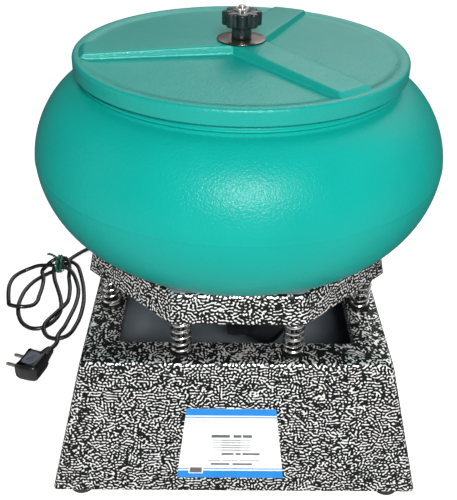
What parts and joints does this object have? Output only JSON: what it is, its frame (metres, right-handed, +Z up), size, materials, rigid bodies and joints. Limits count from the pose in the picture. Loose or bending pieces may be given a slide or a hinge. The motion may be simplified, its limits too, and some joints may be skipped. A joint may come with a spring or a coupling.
{
  "type": "vibratory rock tumbler",
  "caption": "Vibratory bowl tumbler: covered round plastic bowl on a sprung octagonal platform over a square tapered steel base, with a hung motor, hand knob and mains lead.",
  "frame": {"origin": "on the floor under the bowl's axis, at the middle of the base", "axes": "+Z up along the bowl's axis and the tie rod, -Y towards the front with the label, +X to the right seen from the front"},
  "size_m": [0.57, 0.5489, 0.4894],
  "materials": {
    "hammertone": "grey and black hammertone enamel",
    "floor_steel": "smooth dark grey paint",
    "foot_rubber": "matt",
    "zinc_steel": "bright zinc plate",
    "spring_steel": "bright plated spring wire",
    "bowl_plastic": "teal moulded plastic with a fine pebbled skin",
    "seal_rubber": "matt",
    "washer_metal": "dark bronzed, glossy",
    "knob_plastic": "black moulded plastic",
    "motor_paint": "dark semi-matt paint",
    "rotor_steel": "machined",
    "cord_pvc": "black flexible jacket",
    "gland_rubber": "matt",
    "tie_green": "green coated wire",
    "pin_nickel": "nickel plate"
  },
  "bodies": {
    "base": {"base_housing": "hammertone", "base_floor_plate": "floor_steel", "foot_1": "foot_rubber", "foot_2": "foot_rubber", "foot_3": "foot_rubber", "foot_4": "foot_rubber", "foot_screw_1": "zinc_steel", "foot_screw_2": "zinc_steel", "foot_screw_3": "zinc_steel", "foot_screw_4": "zinc_steel", "spring_seat_1": "zinc_steel", "spring_seat_2": "zinc_steel", "spring_seat_3": "zinc_steel", "spring_seat_4": "zinc_steel", "spring_seat_5": "zinc_steel", "spring_seat_6": "zinc_steel", "spring_seat_7": "zinc_steel", "spring_seat_8": "zinc_steel", "spring_1": "spring_steel", "spring_2": "spring_steel", "spring_3": "spring_steel", "spring_4": "spring_steel", "spring_5": "spring_steel", "spring_6": "spring_steel", "spring_7": "spring_steel", "spring_8": "spring_steel", "cable_gland": "gland_rubber", "motor_lead": "cord_pvc", "power_cord": "cord_pvc", "cord_hank": "cord_pvc", "cord_tie": "tie_green", "cord_tail": "cord_pvc", "plug_body": "cord_pvc", "plug_pin_1": "pin_nickel", "plug_pin_2": "pin_nickel"},
    "sprung_deck": {"platform": "hammertone", "motor_cradle": "motor_paint", "motor_upper_bell": "motor_paint", "motor_stator": "motor_paint", "motor_lower_bell": "motor_paint", "upper_bearing": "rotor_steel", "lower_bearing": "rotor_steel", "terminal_box": "knob_plastic", "motor_bolt_1": "zinc_steel", "motor_bolt_2": "zinc_steel", "motor_bolt_3": "zinc_steel", "motor_bolt_4": "zinc_steel", "bowl": "bowl_plastic", "tie_rod": "zinc_steel", "platform_nut": "zinc_steel", "bowl_washer": "zinc_steel", "bowl_nut": "zinc_steel"},
    "rotor": {"motor_rotor": "rotor_steel", "upper_weight": "rotor_steel", "lower_weight": "rotor_steel"},
    "lid": {"lid": "bowl_plastic", "lid_seal": "seal_rubber"},
    "clamp_washer": {"lid_washer": "washer_metal"},
    "knob": {"knob": "knob_plastic", "knob_insert": "zinc_steel"}
  },
  "joints": [
    {"name": "platform_bounce", "type": "slide", "parent": "base", "child": "sprung_deck", "axis": [0, 0, 1], "range_m": [-0.008, 0.004], "stiffness_N_per_m": 175000, "springref_m": 0.00065, "deforming": ["spring_1", "spring_2", "spring_3", "spring_4", "spring_5", "spring_6", "spring_7", "spring_8"]},
    {"name": "rotor_spin", "type": "hinge", "parent": "sprung_deck", "child": "rotor", "pos_m": [0, 0, 0.12], "axis": [0, 0, 1], "continuous": true},
    {"name": "lid_lift", "type": "slide", "parent": "sprung_deck", "child": "lid", "axis": [0, 0, 1], "range_m": [0, 0.06]},
    {"name": "knob_turn", "type": "hinge", "parent": "lid", "child": "clamp_washer", "pos_m": [0, 0, 0.456], "axis": [0, 0, 1], "range_deg": [0, 8670]},
    {"name": "knob_rise", "type": "slide", "parent": "clamp_washer", "child": "knob", "axis": [0, 0, 1], "range_m": [0, 0.03]}
  ],
  "couplings": [
    {"joint": "knob_turn", "follows": "knob_rise", "rad_per_m": 5026.5}
  ]
}
